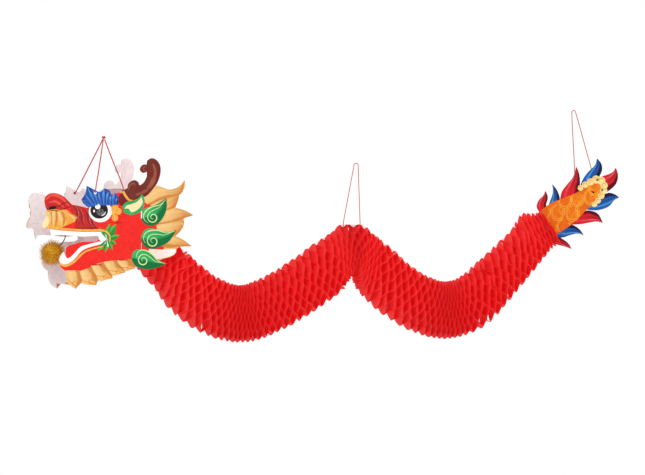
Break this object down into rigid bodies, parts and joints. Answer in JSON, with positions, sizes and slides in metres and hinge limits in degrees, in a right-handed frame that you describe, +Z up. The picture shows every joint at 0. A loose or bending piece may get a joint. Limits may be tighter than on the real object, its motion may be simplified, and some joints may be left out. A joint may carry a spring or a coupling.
{
  "type": "hanging dragon garland",
  "caption": "Hanging paper dragon garland: die-cut printed card head and tail, a red honeycomb tissue body in two swags, a gold tinsel pearl and three red string hangers.",
  "frame": {"origin": "top of the loop of the middle string, where a hook holds the garland", "axes": "+Z up; +X from the head towards the tail; -Y is the side whose head panel faces the viewer"},
  "size_m": [1.4802, 0.2906, 0.5773],
  "materials": {
    "printed_card": "gloss",
    "plain_card": "matte",
    "tinsel": "metallic",
    "wire": "satin",
    "red_cord": "matte",
    "tissue": "matte",
    "red_card": "matte",
    "flame_card": "gloss",
    "scale_card": "gloss",
    "cream_card": "gloss"
  },
  "bodies": {
    "string": {"middle_string": "red_cord", "middle_string_knots": "red_cord"},
    "ridge": {"tissue_middle": "tissue", "ridge_strip": "red_card"},
    "front_1": {"tissue_front_1": "tissue"},
    "front_2": {"tissue_front_2": "tissue"},
    "front_3": {"tissue_front_3": "tissue"},
    "front_4": {"tissue_front_4": "tissue"},
    "front_5": {"tissue_front_5": "tissue"},
    "front_6": {"tissue_front_6": "tissue"},
    "front_7": {"tissue_front_7": "tissue"},
    "head": {"near_head_panel": "printed_card", "far_head_panel": "printed_card", "neck_board": "plain_card", "snout_shelf": "plain_card", "cheek_shelf": "plain_card", "jaw_shelf_front": "plain_card", "jaw_shelf_rear": "plain_card", "crown_shelf": "plain_card", "bridle_near": "red_cord", "bridle_far": "red_cord", "bridle_rear": "red_cord", "bridle_end_knots": "red_cord", "bridle_apex_knot": "red_cord"},
    "pearl": {"pearl_ball": "tinsel", "pearl_stem": "wire"},
    "rear_1": {"tissue_rear_1": "tissue"},
    "rear_2": {"tissue_rear_2": "tissue"},
    "rear_3": {"tissue_rear_3": "tissue"},
    "rear_4": {"tissue_rear_4": "tissue"},
    "rear_5": {"tissue_rear_5": "tissue"},
    "rear_6": {"tissue_rear_6": "tissue"},
    "rear_7": {"tissue_rear_7": "tissue"},
    "tail": {"tail_end_board": "red_card", "tail_flame_board": "flame_card", "near_scale_board": "scale_card", "far_scale_board": "scale_card", "near_tip_trim": "cream_card", "far_tip_trim": "cream_card", "tail_string": "red_cord", "tail_string_knots": "red_cord"}
  },
  "joints": [
    {"name": "body_sway", "type": "hinge", "parent": "string", "child": "ridge", "pos_m": [-0.011, 0, -0.155], "axis": [1, 0, 0], "range_deg": [-12, 12]},
    {"name": "front_gather", "type": "hinge", "parent": "ridge", "child": "front_1", "pos_m": [-0.0658, 0, -0.25816], "axis": [0, 1, 0], "range_deg": [-4, 4]},
    {"name": "front_bend_2", "type": "hinge", "parent": "front_1", "child": "front_2", "pos_m": [-0.12997, 0, -0.3036], "axis": [0, 1, 0], "range_deg": [-3.7, 3.7]},
    {"name": "front_bend_3", "type": "hinge", "parent": "front_2", "child": "front_3", "pos_m": [-0.2053, 0, -0.34762], "axis": [0, 1, 0], "range_deg": [-4.1, 4.1]},
    {"name": "front_bend_4", "type": "hinge", "parent": "front_3", "child": "front_4", "pos_m": [-0.28621, 0, -0.37176], "axis": [0, 1, 0], "range_deg": [-7.7, 7.7]},
    {"name": "front_bend_5", "type": "hinge", "parent": "front_4", "child": "front_5", "pos_m": [-0.36433, 0, -0.35472], "axis": [0, 1, 0], "range_deg": [-4.1, 4.1]},
    {"name": "front_bend_6", "type": "hinge", "parent": "front_5", "child": "front_6", "pos_m": [-0.42571, 0, -0.31212], "axis": [0, 1, 0], "range_deg": [-3.7, 3.7]},
    {"name": "front_bend_7", "type": "hinge", "parent": "front_6", "child": "front_7", "pos_m": [-0.48151, 0, -0.2539], "axis": [0, 1, 0], "range_deg": [-4.5, 4.5]},
    {"name": "head_turn", "type": "hinge", "parent": "front_7", "child": "head", "pos_m": [-0.568, -0.022, -0.19199], "axis": [0, 0, 1], "range_deg": [-24, 6]},
    {"name": "pearl_swing", "type": "hinge", "parent": "head", "child": "pearl", "pos_m": [-0.72513, -0.09196, -0.16399], "axis": [-0.4067, 0.9135, 0], "range_deg": [-20, 20]},
    {"name": "rear_gather", "type": "hinge", "parent": "ridge", "child": "rear_1", "pos_m": [0.04335, 0, -0.26597], "axis": [0, -1, 0], "range_deg": [-4, 4]},
    {"name": "rear_bend_2", "type": "hinge", "parent": "rear_1", "child": "rear_2", "pos_m": [0.09913, 0, -0.31496], "axis": [0, -1, 0], "range_deg": [-3.7, 3.7]},
    {"name": "rear_bend_3", "type": "hinge", "parent": "rear_2", "child": "rear_3", "pos_m": [0.15975, 0, -0.35188], "axis": [0, -1, 0], "range_deg": [-4.1, 4.1]},
    {"name": "rear_bend_4", "type": "hinge", "parent": "rear_3", "child": "rear_4", "pos_m": [0.2228, 0, -0.3675], "axis": [0, -1, 0], "range_deg": [-7.7, 7.7]},
    {"name": "rear_bend_5", "type": "hinge", "parent": "rear_4", "child": "rear_5", "pos_m": [0.28585, 0, -0.34833], "axis": [0, -1, 0], "range_deg": [-4.1, 4.1]},
    {"name": "rear_bend_6", "type": "hinge", "parent": "rear_5", "child": "rear_6", "pos_m": [0.34163, 0, -0.29792], "axis": [0, -1, 0], "range_deg": [-3.7, 3.7]},
    {"name": "rear_bend_7", "type": "hinge", "parent": "rear_6", "child": "rear_7", "pos_m": [0.40225, 0, -0.23331], "axis": [0, -1, 0], "range_deg": [-4.5, 4.5]},
    {"name": "tail_wag", "type": "hinge", "parent": "rear_7", "child": "tail", "pos_m": [0.475, 0, -0.166], "axis": [-0.5, 0, 0.866], "range_deg": [-14, 14]}
  ],
  "couplings": [
    {"joint": "front_bend_2", "follows": "front_gather", "ratio": 0.8},
    {"joint": "front_bend_3", "follows": "front_gather", "ratio": -0.9},
    {"joint": "front_bend_4", "follows": "front_gather", "ratio": -1.8},
    {"joint": "front_bend_5", "follows": "front_gather", "ratio": -0.9},
    {"joint": "front_bend_6", "follows": "front_gather", "ratio": 0.8},
    {"joint": "front_bend_7", "follows": "front_gather", "ratio": 1},
    {"joint": "rear_bend_2", "follows": "rear_gather", "ratio": 0.8},
    {"joint": "rear_bend_3", "follows": "rear_gather", "ratio": -0.9},
    {"joint": "rear_bend_4", "follows": "rear_gather", "ratio": -1.8},
    {"joint": "rear_bend_5", "follows": "rear_gather", "ratio": -0.9},
    {"joint": "rear_bend_6", "follows": "rear_gather", "ratio": 0.8},
    {"joint": "rear_bend_7", "follows": "rear_gather", "ratio": 1}
  ]
}
